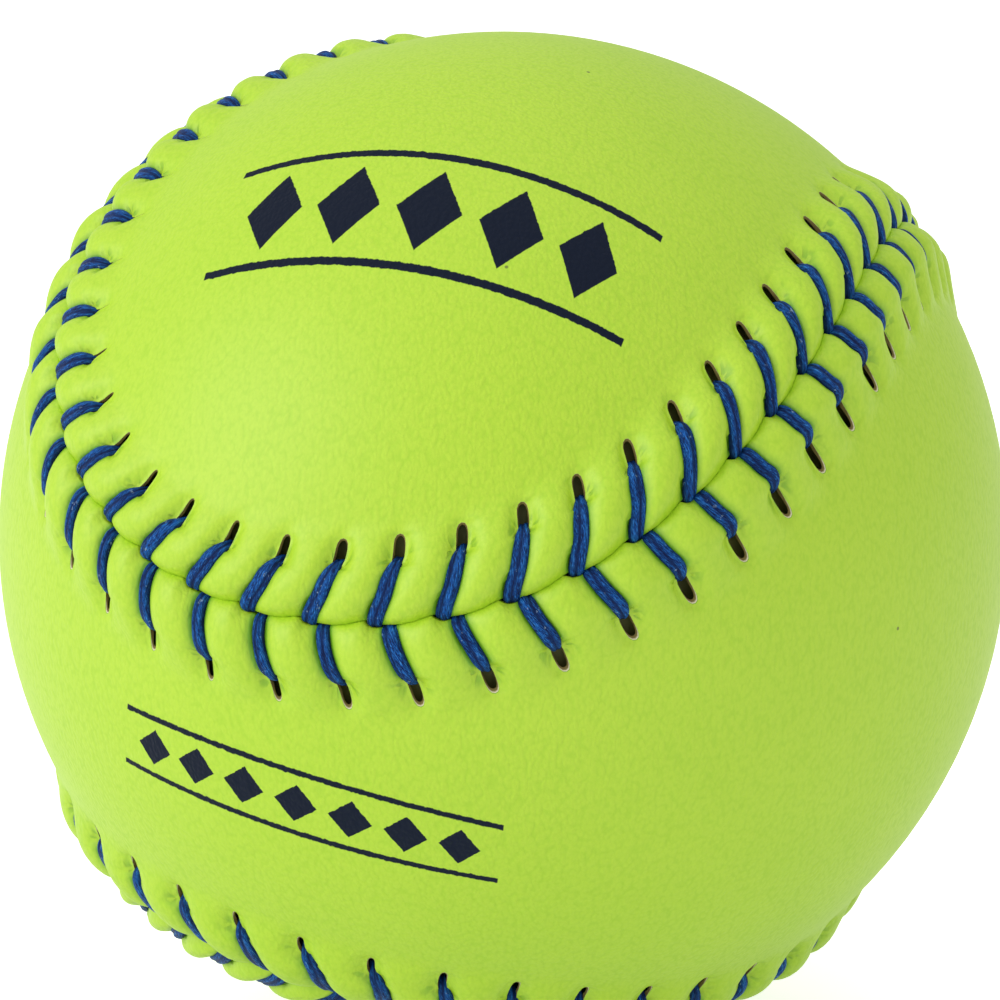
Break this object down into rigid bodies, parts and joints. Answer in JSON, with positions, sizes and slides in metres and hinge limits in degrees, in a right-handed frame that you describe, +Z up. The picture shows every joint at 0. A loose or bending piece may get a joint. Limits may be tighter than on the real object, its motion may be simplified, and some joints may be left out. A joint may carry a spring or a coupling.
{
  "type": "softball",
  "caption": "Hand-sized sports ball with a foam core in figure-eight cover panels, sewn with a raised, puckered, thread-stitched seam.",
  "frame": {"origin": "centre of the ball", "axes": "+Z up out of the cup or ring that holds the ball, -Y towards the side that the picture shows"},
  "size_m": [0.0969, 0.1016, 0.0969],
  "materials": {
    "core_foam": "moulded polyurethane foam, matt",
    "cement": "dried contact cement, satin",
    "cover": "optic yellow pebbled leather, satin",
    "thread": "waxed royal blue thread of twisted strands"
  },
  "bodies": {
    "root": {"core": "core_foam", "cement_coat": "cement", "cover_panel_a": "cover", "cover_panel_b": "cover", "thread_a": "thread", "thread_b": "thread"}
  },
  "joints": []
}
